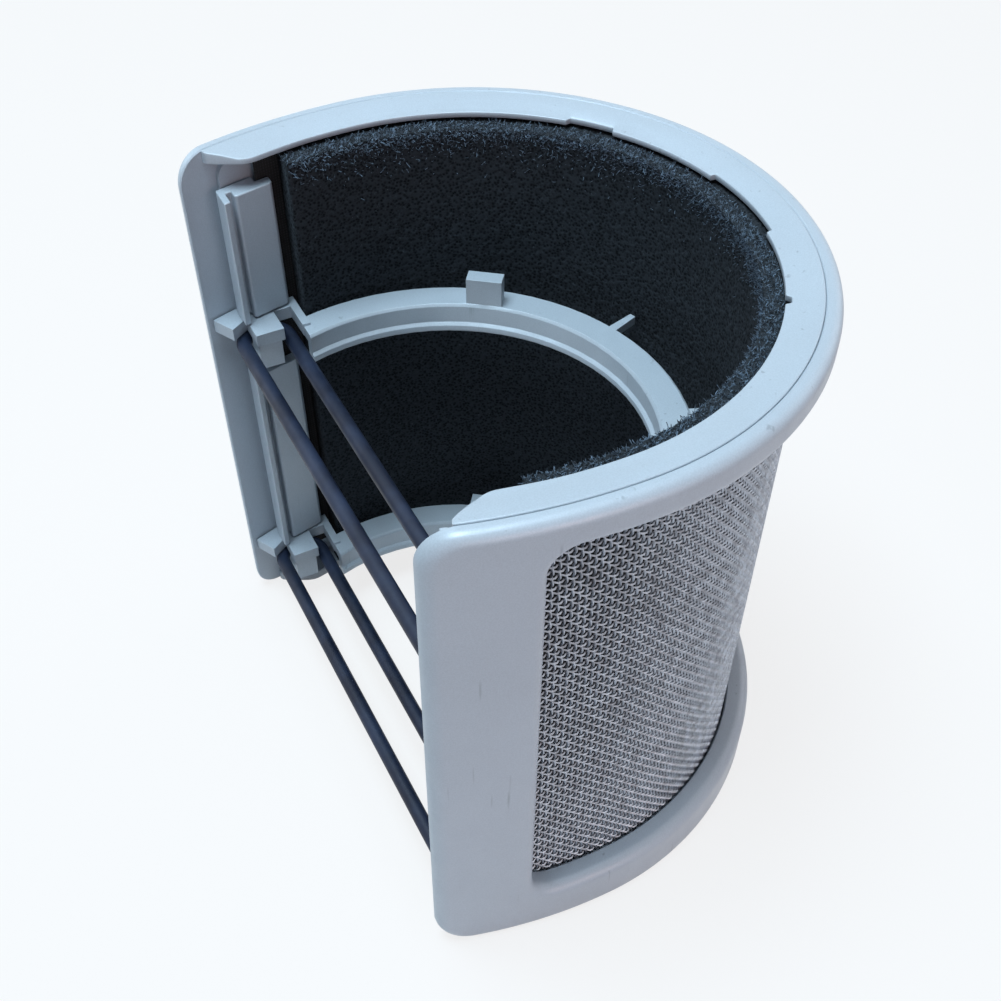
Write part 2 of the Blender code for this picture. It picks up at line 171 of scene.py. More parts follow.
def tubes(name: str, paths: np.ndarray, radius: float, sides: int, closed: bool) -> bpy.types.Object:
    """Round wires along equal paths, in one piece.

    Each section is a circle in the plane of the two directions square to the path: at angle a a
    point is path + radius (cos a side + sin a up), where side is path direction x guide.

    Args:
        name: the piece's name.
        paths: centre lines as (wires, points, 3).
        radius: the wire's radius.
        sides: corners in a section.
        closed: whether each path is a loop.

    Returns:
        The piece with all its wires.
    """
    wires, count = paths.shape[:2]
    along = np.roll(paths, -1, 1) - np.roll(paths, 1, 1)
    if not closed:
        along[:, 0] = paths[:, 1] - paths[:, 0]
        along[:, -1] = paths[:, -1] - paths[:, -2]
    along /= np.linalg.norm(along, axis=-1, keepdims=True)
    upright = np.abs(along[..., 2:3]).mean() > 0.7
    outward = paths * np.array([1.0, 1.0, 0.0])
    guide = outward if upright else np.broadcast_to(np.array([0.0, 0.0, 1.0]), paths.shape)
    side = np.cross(along, guide)
    side /= np.linalg.norm(side, axis=-1, keepdims=True)
    up = np.cross(side, along)
    a = np.linspace(0, 2 * np.pi, sides, endpoint=False)
    ring = np.cos(a)[:, None] * side[:, :, None] + np.sin(a)[:, None] * up[:, :, None]
    points = paths[:, :, None] + radius * ring
    quads = grid_faces(count, sides, closed, True)
    shift = (np.arange(wires) * count * sides)[:, None, None]
    caps = None
    if not closed:
        ends = np.array(cap_fans(count, sides))
        caps = (ends[None] + shift).reshape(-1, sides).tolist()
    return make_piece(name, points, (quads[None] + shift).reshape(-1, 4), caps, 80.0)


def merged_copy(name: str, node: str, bevel: float) -> bpy.types.Object:
    """A copy of a moulded part with its points joined, its flat faces cleaned and its edges eased.

    Args:
        name: the piece's name.
        node: the part that it stands for.
        bevel: the width of the eased edges.

    Returns:
        The piece, which replaces the part.
    """
    mesh = frame["nodes"][node].data.copy()
    mesh.name = name
    work = bmesh.new()
    work.from_mesh(mesh)
    bmesh.ops.remove_doubles(work, verts=work.verts, dist=2e-6)
    bmesh.ops.dissolve_limit(
        work, angle_limit=math.radians(0.6), verts=work.verts, edges=work.edges
    )
    work.to_mesh(mesh)
    work.free()
    mesh.materials.clear()
    mesh.shade_smooth()
    mesh.set_sharp_from_angle(angle=math.radians(35))
    piece = bpy.data.objects.new(name, mesh)
    bpy.context.scene.collection.objects.link(piece)
    ease = piece.modifiers.new("eased edges", "BEVEL")
    ease.width = bevel
    ease.segments = 2
    ease.limit_method = "ANGLE"
    ease.angle_limit = math.radians(35)
    ease.use_clamp_overlap = True
    ease.harden_normals = True
    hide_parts(node)
    return piece


@dataclass(frozen=True)
class Arch:
    """The shield's plan: a back arc that meets two flatter side arcs, drafted towards the bottom."""

    height: float
    back_radius: float
    reach: float
    side_radius: float = 82.0 * MM
    draft: float = 2.0 * MM

    @classmethod
    def from_box(cls, low: Vector, high: Vector) -> "Arch":
        """The plan that fills a box: half its width is the back arc's radius."""
        radius = (high.x - low.x) / 2
        return cls(height=high.z, back_radius=radius, reach=high.y - low.y - radius)

    @property
    def back_length(self) -> float:
        """Length of half of the back arc."""
        return self.back_radius * math.pi / 2

    @property
    def middle_y(self) -> float:
        """Where the arcs' common centre line lies once the plan is centred."""
        return (self.reach - self.back_radius) / 2

    def length_at(self, y: float) -> float:
        """The length along the outer arch at which its side reaches plan position y."""
        return self.back_length + self.side_radius * math.asin(-y / self.side_radius)

    def shrink(self, z: np.ndarray) -> np.ndarray:
        """How far the plan has shrunk at height z."""
        return self.draft * (1 - z / self.height)

    def at(self, s: np.ndarray, inset: np.ndarray, z: np.ndarray) -> np.ndarray:
        """Points at length s along the outer arch, inset from its face, at height z.

        On the back arc the angle is s over the radius, and the point lies at the shrunken radius.
        On a side arc the angle is the share of its length times the angle that reaches the front.

        Args:
            s: lengths, 0 at the back.
            inset: distances inside the outer face.
            z: heights.

        Returns:
            The points, with one more axis than the arguments.
        """
        s, inset, z = np.broadcast_arrays(s, inset, z)
        lost = inset + self.shrink(z)
        side_length = self.side_radius * math.asin(self.reach / self.side_radius)
        radius = self.side_radius - lost
        share = (np.abs(s) - self.back_length) / side_length
        turn = share * np.arcsin(self.reach / radius)
        side_x = np.sign(s) * (radius * np.cos(turn) - self.side_radius + self.back_radius)
        angle = s / self.back_radius
        back = np.abs(s) <= self.back_length
        x = np.where(back, (self.back_radius - lost) * np.sin(angle), side_x)
        y = np.where(back, (self.back_radius - lost) * np.cos(angle), -radius * np.sin(turn))
        return np.stack([x, y + self.middle_y, z], -1)


# --- finishes ----------------------------------------------------------------------------------


class Nodes:
    """A material under construction, with short calls for the nodes that the finishes share."""

    def __init__(self, name: str) -> None:
        """Start a material with a Principled shader."""
        self.material = bpy.data.materials.new(name)
        self.material.use_nodes = True
        self.tree = self.material.node_tree
        self.shader = self.tree.nodes["Principled BSDF"]
        self.place = self.tree.nodes.new("ShaderNodeTexCoord").outputs["Object"]

    def link(self, source: bpy.types.NodeSocket, target: bpy.types.NodeSocket) -> None:
        """Join two sockets."""
        self.tree.links.new(source, target)

    def noise(self, scale: float, detail: float = 3.0, roughness: float = 0.55) -> bpy.types.NodeSocket:
        """Fractal noise over the piece, scale waves to the metre."""
        node = self.tree.nodes.new("ShaderNodeTexNoise")
        node.inputs["Scale"].default_value = scale
        node.inputs["Detail"].default_value = detail
        node.inputs["Roughness"].default_value = roughness
        self.link(self.place, node.inputs["Vector"])
        return node.outputs["Fac"]

    def cells(self, scale: float) -> bpy.types.NodeSocket:
        """Distance to the nearest of scattered points, scale of them to the metre."""
        node = self.tree.nodes.new("ShaderNodeTexVoronoi")
        node.inputs["Scale"].default_value = scale
        self.link(self.place, node.inputs["Vector"])
        return node.outputs["Distance"]

    def streaks(self, across: float, along: float) -> bpy.types.NodeSocket:
        """Noise drawn out along Z, as scuffs on an upright wall are."""
        mapping = self.tree.nodes.new("ShaderNodeMapping")
        mapping.inputs["Scale"].default_value = (across, across, along)
        self.link(self.place, mapping.inputs["Vector"])
        node = self.tree.nodes.new("ShaderNodeTexNoise")
        node.inputs["Scale"].default_value = 1.0
        node.inputs["Detail"].default_value = 2.0
        self.link(mapping.outputs["Vector"], node.inputs["Vector"])
        return node.outputs["Fac"]

    def ramp(
        self, source: bpy.types.NodeSocket, stops: list[tuple[float, tuple[float, float, float]]]
    ) -> bpy.types.NodeSocket:
        """Colours looked up from a value."""
        node = self.tree.nodes.new("ShaderNodeValToRGB")
        elements = node.color_ramp.elements
        while len(elements) < len(stops):
            elements.new(0.5)
        for element, (position, colour) in zip(elements, stops):
            element.position = position
            element.color = (*colour, 1.0)
        self.link(source, node.inputs["Fac"])
        return node.outputs["Color"]

    def spread(self, source: bpy.types.NodeSocket, low: float, high: float) -> bpy.types.NodeSocket:
        """A value between low and high, for a source between about 0.3 and 0.7."""
        node = self.tree.nodes.new("ShaderNodeMapRange")
        node.inputs["From Min"].default_value = 0.3
        node.inputs["From Max"].default_value = 0.7
        node.inputs["To Min"].default_value = low
        node.inputs["To Max"].default_value = high
        self.link(source, node.inputs["Value"])
        return node.outputs["Result"]

    def mix(
        self, share: bpy.types.NodeSocket, first: bpy.types.NodeSocket, second: bpy.types.NodeSocket
    ) -> bpy.types.NodeSocket:
        """The first colour where share is 0, the second where it is 1."""
        node = self.tree.nodes.new("ShaderNodeMix")
        node.data_type = "RGBA"
        self.link(share, node.inputs["Factor"])
        self.link(first, node.inputs["A"])
        self.link(second, node.inputs["B"])
        return node.outputs["Result"]

    def bump(self, height: bpy.types.NodeSocket, strength: float, distance: float) -> None:
        """Roughen the surface by a height map, over whatever bump it has already."""
        node = self.tree.nodes.new("ShaderNodeBump")
        node.inputs["Strength"].default_value = strength
        node.inputs["Distance"].default_value = distance
        self.link(height, node.inputs["Height"])
        target = self.shader.inputs["Normal"]
        if target.is_linked:
            self.link(target.links[0].from_socket, node.inputs["Normal"])
        self.link(node.outputs["Normal"], target)


@dataclass(frozen=True)
class SilverPaint:
    """Satin silver paint on moulded plastic, with fine flakes, faint scuffs and an orange-peel skin."""

    colour: tuple[float, float, float] = (0.46, 0.50, 0.55)
    metallic: float = 0.10
    roughness: float = 0.42

    def make(self) -> bpy.types.Material:
        """Build the material."""
        nodes = Nodes("silver_paint")
        dark, light = (tuple(c * k for c in self.colour) for k in (0.91, 1.07))
        flakes = nodes.ramp(nodes.noise(5200.0, 1.0), [(0.34, dark), (0.66, light)])
        clouds = nodes.ramp(nodes.noise(38.0, 4.0), [(0.30, dark), (0.70, light)])
        blend = nodes.tree.nodes.new("ShaderNodeMix")
        blend.data_type = "RGBA"
        blend.inputs["Factor"].default_value = 0.45
        nodes.link(flakes, blend.inputs["A"])
        nodes.link(clouds, blend.inputs["B"])
        scuffs = nodes.ramp(nodes.streaks(900.0, 60.0), [(0.70, (0, 0, 0)), (0.78, (1, 1, 1))])
        worn = nodes.ramp(nodes.noise(210.0, 2.0), [(0.0, tuple(c * 0.72 for c in self.colour))] * 2)
        nodes.link(nodes.mix(scuffs, blend.outputs["Result"], worn), nodes.shader.inputs["Base Color"])
        rough = nodes.spread(nodes.noise(420.0, 3.0), self.roughness - 0.06, self.roughness + 0.08)
        nodes.link(rough, nodes.shader.inputs["Roughness"])
        nodes.shader.inputs["Metallic"].default_value = self.metallic
        nodes.bump(nodes.noise(1500.0, 2.0), 0.22, 0.00006)
        nodes.bump(nodes.noise(260.0, 2.0), 0.10, 0.00015)
        return nodes.material


@dataclass(frozen=True)
class ScreenWire:
    """Lightly painted steel wire, a little duller in random patches."""

    bright: tuple[float, float, float] = (0.50, 0.55, 0.62)
    dull: tuple[float, float, float] = (0.29, 0.31, 0.35)

    def make(self) -> bpy.types.Material:
        """Build the material."""
        nodes = Nodes("screen_wire")
        colour = nodes.ramp(nodes.noise(700.0, 3.0), [(0.35, self.dull), (0.62, self.bright)])
        nodes.link(colour, nodes.shader.inputs["Base Color"])
        nodes.link(nodes.spread(nodes.noise(1100.0), 0.30, 0.48), nodes.shader.inputs["Roughness"])
        nodes.shader.inputs["Metallic"].default_value = 0.55
        nodes.bump(nodes.noise(4200.0, 1.0), 0.15, 0.00003)
        return nodes.material


@dataclass(frozen=True)
class BlackGauze:
    """Matt black cloth with a plain weave, woven along the arch and up it."""

    pitch: float = 0.00045

    def make(self) -> bpy.types.Material:
        """Build the material: the weave is the product of two waves on the piece's own map."""
        nodes = Nodes("black_gauze")
        uv = nodes.tree.nodes.new("ShaderNodeTexCoord").outputs["UV"]
        heights = []
        for axis in ("X", "Y"):
            wave = nodes.tree.nodes.new("ShaderNodeTexWave")
            wave.bands_direction = axis
            wave.inputs["Scale"].default_value = math.pi / 10 / self.pitch
            nodes.link(uv, wave.inputs["Vector"])
            heights.append(wave.outputs["Fac"])
        weave = nodes.tree.nodes.new("ShaderNodeMath")
        weave.operation = "MULTIPLY"
        nodes.link(heights[0], weave.inputs[0])
        nodes.link(heights[1], weave.inputs[1])
        stops = [(0.0, (0.004, 0.004, 0.005)), (1.0, (0.022, 0.022, 0.025))]
        nodes.link(nodes.ramp(weave.outputs[0], stops), nodes.shader.inputs["Base Color"])
        nodes.shader.inputs["Roughness"].default_value = 0.95
        nodes.bump(weave.outputs[0], 0.5, 0.0001)
        return nodes.material


@dataclass(frozen=True)
class BlackFoam:
    """Open-cell foam: near-black pores painted as shade in the cells' hollows, and pale flecks on the
    cell walls painted as highlights.
    """

    # Painted shade: the pores' colour darkens the hollows of the cells.
    pore: tuple[float, float, float] = (0.004, 0.005, 0.006)
    wall: tuple[float, float, float] = (0.036, 0.040, 0.046)
    # Painted highlight: the colour of the pale flecks on the cell walls.
    lint_and_glint: tuple[float, float, float] = (0.14, 0.16, 0.18)

    def make(self) -> bpy.types.Material:
        """Build the material."""
        nodes = Nodes("black_foam")
        cells = nodes.cells(1900.0)
        # The pores' dark colour is painted shade in the hollows that the cell bump makes.
        body = nodes.ramp(cells, [(0.05, self.pore), (0.60, self.wall)])
        # The pale flecks are painted highlights, scattered by a noise mask.
        glint_colour = nodes.ramp(nodes.noise(900.0), [(0.3, self.wall), (0.7, self.lint_and_glint)])
        glint_mask = nodes.ramp(nodes.noise(2300.0, 5.0, 0.75), [(0.60, (0, 0, 0)), (0.74, (1, 1, 1))])
        nodes.link(nodes.mix(glint_mask, body, glint_colour), nodes.shader.inputs["Base Color"])
        nodes.shader.inputs["Roughness"].default_value = 1.0
        nodes.shader.inputs["Specular IOR Level"].default_value = 0.05
        nodes.bump(cells, 0.8, 0.0003)
        nodes.bump(nodes.noise(1500.0, 5.0, 0.7), 0.7, 0.0004)
        return nodes.material


@dataclass(frozen=True)
class FoamLint:
    """Fine fibres that stand out of the foam's cut edge, dark at heart and pale in the light."""

    colour: tuple[float, float, float] = (0.20, 0.27, 0.36)

    def make(self) -> bpy.types.Material:
        """Build the material."""
        nodes = Nodes("foam_lint")
        dark = tuple(c * 0.12 for c in self.colour)
        nodes.link(
            nodes.ramp(nodes.noise(1600.0, 2.0), [(0.38, dark), (0.66, self.colour)]),
            nodes.shader.inputs["Base Color"],
        )
        nodes.shader.inputs["Roughness"].default_value = 0.8
        return nodes.material


@dataclass(frozen=True)
class BandRubber:
    """Smooth dark blue-black rubber with a faint blue sheen painted into it in random patches."""

    colour: tuple[float, float, float] = (0.006, 0.010, 0.024)
    # Painted sheen: a bluer, lighter colour that stands in for light the rubber reflects.
    painted_sheen: tuple[float, float, float] = (0.020, 0.030, 0.062)

    def make(self) -> bpy.types.Material:
        """Build the material."""
        nodes = Nodes("band_rubber")
        # The base colour mixes the rubber's own colour with patches of painted sheen through noise.
        colour = nodes.ramp(nodes.noise(160.0, 4.0), [(0.40, self.colour), (0.75, self.painted_sheen)])
        nodes.link(colour, nodes.shader.inputs["Base Color"])
        nodes.link(nodes.spread(nodes.noise(300.0), 0.42, 0.58), nodes.shader.inputs["Roughness"])
        nodes.shader.inputs["Specular IOR Level"].default_value = 0.3
        nodes.bump(nodes.noise(900.0, 3.0), 0.25, 0.0001)
        return nodes.material


class Finishes:
    """Every finish, made once and put on pieces by slot."""

    def __init__(self) -> None:
        """Make the materials."""
        self.by_slot = {
            Slot.SILVER: SilverPaint().make(),
            Slot.WIRE: ScreenWire().make(),
            Slot.GAUZE: BlackGauze().make(),
            Slot.FOAM: BlackFoam().make(),
            Slot.RUBBER: BandRubber().make(),
        }
        self.lint_and_glint = FoamLint().make()

    def dress(
        self,
        piece: bpy.types.Object,
        slot: Slot,
        body: str = SHIELD_BODY,
        finish: bpy.types.Material | None = None,
    ) -> None:
        """Give a piece its finish, the slot's own unless another is given, and the body that it rides on.

        Args:
            piece: the finished piece.
            slot: the record's slot for it.
            body: the body that it moves with.
            finish: a material other than the slot's own.
        """
        piece.data.materials.clear()
        piece.data.materials.append(finish or self.by_slot[slot])
        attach(piece, body)
        LOG.info("%s rides on %s, finished as %s", piece.name, body, slot.value)


# --- sub-assemblies ----------------------------------------------------------------------------


@dataclass(frozen=True)
class Shell:
    """The moulded shell: cheeks, rims and the window between them."""

    arch: Arch
    cheek_wall: float = 2.4 * MM
    border_wall: float = 3.7 * MM
    border_from_front: float = 6.0 * MM
    cheek_corner: float = 5.0 * MM
    edge_round: float = 1.6 * MM
    chamfer: float = 0.2 * MM
    ledge: float = 2.2 * MM
    window_from_front: float = 14.0 * MM
    window_from_top: float = 5.3 * MM
    window_from_bottom: float = 9.0 * MM
    window_corner: float = 4.0 * MM
    window_round: float = 1.8 * MM
    long_steps: int = 150
    upright_steps: int = 24
    corner_steps: int = 24
    lead_steps: int = 8
    tail_steps: int = 4
    round_steps: int = 8
    face_steps: int = 8

    def quarter(
        self, start: np.ndarray, end: np.ndarray, radius: float, window: bool
    ) -> np.ndarray:
        """Points from a long edge's end, round the corner, to an upright edge's end, both left out.

        The window's corner is one arc. Any other runs straight to its arc, turns, and runs straight
        on, so that each of its points faces the window's point with the same number.

        Args:
            start: the long edge's end, (s, z).
            end: the upright edge's end, (s, z).
            radius: the corner's radius.
            window: whether this is the window's own edge.

        Returns:
            The points, (corner_steps - 1, 2).
        """
        turn = np.sign([end[0] - start[0], end[1] - start[1]])
        centre = np.array([end[0], start[1]]) + turn * radius * np.array([-1, 1])
        steps = self.corner_steps if window else self.corner_steps - self.lead_steps - self.tail_steps
        a = np.linspace(0, np.pi / 2, steps + 1)
        arc = centre + radius * turn * np.stack([np.sin(a), -np.cos(a)], -1)
        if window:
            return arc[1:-1]
        lead = np.linspace(start, arc[0], self.lead_steps + 1)[1:-1]
        tail = np.linspace(arc[-1], end, self.tail_steps + 1)[1:-1]
        return np.concatenate([lead, arc, tail])

    def loop(
        self, front: float, top: float, bottom: float, radius: float, window: bool = False
    ) -> np.ndarray:
        """A closed loop of (s, z) points around the window.

        Args:
            front: its distance from the front edge.
            top: its distance from the top.
            bottom: its distance from the bottom.
            radius: its corners' radius.
            window: whether it is the window's own edge.

        Returns:
            The points, whose numbers match from loop to loop.
        """
        arch = self.arch
        edge = arch.length_at(-arch.reach + front)
        low, high = bottom, arch.height - top
        end = arch.length_at(-arch.reach + self.window_from_front + self.window_corner)
        upright = (
            self.window_from_bottom + self.window_corner,
            arch.height - self.window_from_top - self.window_corner,
        )
        run = np.linspace(0, end, self.long_steps // 2 + 1)
        rise = np.linspace(upright[1], upright[0], self.upright_steps + 1)
        upper = self.quarter(np.array([end, high]), np.array([edge, upright[1]]), radius, window)
        lower = self.quarter(np.array([end, low]), np.array([edge, upright[0]]), radius, window)
        right = np.concatenate([
            np.stack([run, np.full_like(run, high)], -1),
            upper,
            np.stack([np.full_like(rise, edge), rise], -1),
            lower[::-1],
            np.stack([run[::-1], np.full_like(run, low)], -1),
        ])
        left = right[1:-1][::-1] * np.array([-1.0, 1.0])
        return np.concatenate([right, left])

    def window(self, grown: float) -> np.ndarray:
        """The window's edge, moved outwards."""
        return self.loop(
            self.window_from_front - grown,
            self.window_from_top - grown,
            self.window_from_bottom - grown,
            self.window_corner + grown,
            window=True,
        )

    def rim(self, shrunk: float) -> np.ndarray:
        """The shell's outline, moved inwards."""
        return self.loop(shrunk, shrunk, shrunk, self.cheek_corner - shrunk)

    def border(self) -> np.ndarray:
        """Where the thick border starts."""
        return self.loop(
            self.border_from_front, self.ledge, self.ledge, self.cheek_corner - self.ledge
        )

    def section(self) -> list[tuple[np.ndarray, float]]:
        """The wall's section: quarter-round window edge, outer face, rounded rim and inner steps."""
        turn = np.linspace(0, np.pi / 2, self.round_steps + 1)
        rows = [
            (self.window(self.window_round * (1 - math.cos(a))), self.window_round * (1 - math.sin(a)))
            for a in turn
        ]
        inner, outer = self.window(self.window_round), self.rim(self.edge_round)
        shares = np.linspace(0, 1, self.face_steps + 2)[1:-1]
        rows += [(inner + (outer - inner) * share, 0.0) for share in shares]
        rows += [
            (self.rim(self.edge_round * (1 - math.sin(a))), self.edge_round * (1 - math.cos(a)))
            for a in turn
        ]
        rows.append((self.rim(0.0), self.cheek_wall - self.chamfer))
        rows.append((self.rim(self.chamfer), self.cheek_wall))
        border, lip = self.border(), self.window(self.chamfer)
        rows += [(border, self.cheek_wall), (border, self.border_wall)]
        rows += [(border + (lip - border) * share, self.border_wall) for share in shares]
        rows += [(lip, self.border_wall), (self.window(0.0), self.border_wall - self.chamfer)]
        return rows

    def build(self, finishes: Finishes) -> None:
        """Model the shell and dress it."""
        rows = [self.arch.at(loop[:, 0], np.float64(inset), loop[:, 1]) for loop, inset in self.section()]
        piece = swept("shell_moulding", np.array(rows), closed=True, sharp_deg=32.0)
        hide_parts("outer_shell")
        finishes.dress(piece, Slot.SILVER)


@dataclass(frozen=True)
class Cover:
    """A flat C-shaped cover with rounded noses and shallow notches in its inner edge."""

    arch: Arch
    name: str
    node: str
    low: float
    inset: float = 2.46 * MM
    thick: float = 1.9 * MM
    thin: float = 0.9 * MM
    slope: float = 0.0
    width: float = 4.94 * MM
    nose_from_front: float = 4.3 * MM
    nose_length: float = 7.2 * MM
    nose_swell: float = 0.2 * MM
    nose_run_up: float = 1.25
    tip_width: float = 0.2 * MM
    edge: float = 0.22 * MM
    notch_depth: float = 0.8 * MM
    notch_flank: float = 0.25 * MM
    notches: tuple[tuple[float, float], ...] = ((-38.0, 8.6), (4.2, 18.4), (37.0, 1.8))
    stations: int = 700

    def inner(self, s: np.ndarray) -> np.ndarray:
        """The inset of the inner edge at lengths s along the arch.

        The width is even, swells a little, and falls to the tip halfway between a cosine wave and
        a quarter ellipse. Each notch takes away its depth between two straight steps.
        """
        end = self.arch.length_at(-self.arch.reach + self.nose_from_front)
        share = (np.abs(s) - (end - self.nose_length)) / self.nose_length
        swell = np.clip(1 + share / self.nose_run_up, 0, 1)
        width = self.width + self.nose_swell * swell**2 * (3 - 2 * swell)
        share = np.clip(share, 0, 1)
        fall = 0.75 - 0.25 * np.cos(np.pi * share) - 0.5 * np.sqrt(1 - share**2)
        width = width - (width - self.tip_width) * fall
        for angle, length in self.notches:
            away = np.abs(s - math.radians(angle) * self.arch.back_radius) - length * MM / 2
            width = width - self.notch_depth * np.clip(0.5 - away / self.notch_flank, 0, 1)
        return self.inset + width

    def build(self, finishes: Finishes) -> None:
        """Model the cover and dress it: an eased slab carried along the arch.

        Its top falls from the outer edge to the inner by the slope, in step with the square of the
        distance across, and its thickness there is the thin one.
        """
        end = self.arch.length_at(-self.arch.reach + self.nose_from_front)
        s = np.linspace(-end, end, self.stations)
        inner = self.inner(s)[:, None]
        ease = np.minimum(self.edge, 0.2 * (inner - self.inset))
        a = np.linspace(0, np.pi / 2, 4)[None, :]
        outer_in, inner_in = self.inset + ease, inner - ease
        low, high = self.low + ease, self.low + self.thick - ease
        across = np.array([[0.03, 0.2, 0.5, 0.8, 0.97]])
        top = outer_in + (inner_in - outer_in) * across
        flat = np.zeros_like(top)
        insets = np.concatenate([
            outer_in - ease * np.cos(a),
            top,
            inner_in + ease * np.sin(a),
            inner_in + ease * np.cos(a),
            top[:, ::-1],
            outer_in - ease * np.sin(a),
        ], 1)
        heights = np.concatenate([
            high + ease * np.sin(a),
            high + ease + flat,
            high + ease * np.cos(a),
            low - ease * np.sin(a),
            low - ease + flat,
            low - ease * np.cos(a),
        ], 1)
        share = np.clip((insets - self.inset) / (self.width - self.notch_depth), 0, 1) ** 2
        lift = (heights - self.low) / self.thick
        heights = heights - share * self.slope * lift
        heights = heights + share * (self.thick - self.thin - self.slope) * (1 - lift)
        rows = self.arch.at(s[:, None], insets, heights)
        piece = swept(self.name, rows, closed=False, sharp_deg=50.0)
        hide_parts(self.node)
        finishes.dress(piece, Slot.SILVER)


@dataclass(frozen=True)
class WireScreen:
    """Plain-woven wire behind the window: each wire passes over and under its neighbours in turn."""

    arch: Arch
    inset: float = 4.3 * MM
    wire: float = 0.16 * MM
    weft_pitch: float = 0.95 * MM
    warp_pitch: float = 0.90 * MM
    end_y: float = -15.6 * MM
    low: float = 6.6 * MM
    high: float = 87.1 * MM
    sides: int = 4
    parts: int = 2

    def build(self, finishes: Finishes) -> None:
        """Model the wires that run along the arch and those that stand up, and dress them.

        A wire has two points a pitch, a quarter pitch each side of a crossing. Its distance from
        the middle surface there is a little over half a wire, outwards and inwards at crossings in
        turn. The two sets take opposite signs, and neighbours are a crossing apart.
        """
        end = self.arch.length_at(self.end_y)
        across = int(2 * end / self.warp_pitch)
        up = int((self.high - self.low) / self.weft_pitch)
        swing = self.wire * 1.04
        step_s = (np.arange(2 * across) + 0.5) / 2
        step_z = (np.arange(2 * up) + 0.5) / 2
        s = -end + step_s / across * 2 * end
        z = self.low + step_z / up * (self.high - self.low)
        weft_z = self.low + (np.arange(up) + 0.5) / up * (self.high - self.low)
        warp_s = -end + (np.arange(across) + 0.5) / across * 2 * end
        weft_side = 1 - 2 * ((np.floor(step_s)[None, :] + np.arange(up)[:, None]) % 2)
        warp_side = 1 - 2 * ((np.floor(step_z)[None, :] + np.arange(across)[:, None]) % 2)
        wefts = self.arch.at(s[None, :], self.inset - swing * weft_side, weft_z[:, None])
        warps = self.arch.at(warp_s[:, None], self.inset + swing * warp_side, z[None, :])
        for name, paths in (("weft", wefts), ("warp", warps)):
            for number, some in enumerate(np.array_split(paths, self.parts), 1):
                piece = tubes(f"screen_{name}_wires_{number}", some, self.wire, self.sides, False)
                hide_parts("mesh_screen")
                finishes.dress(piece, Slot.WIRE)


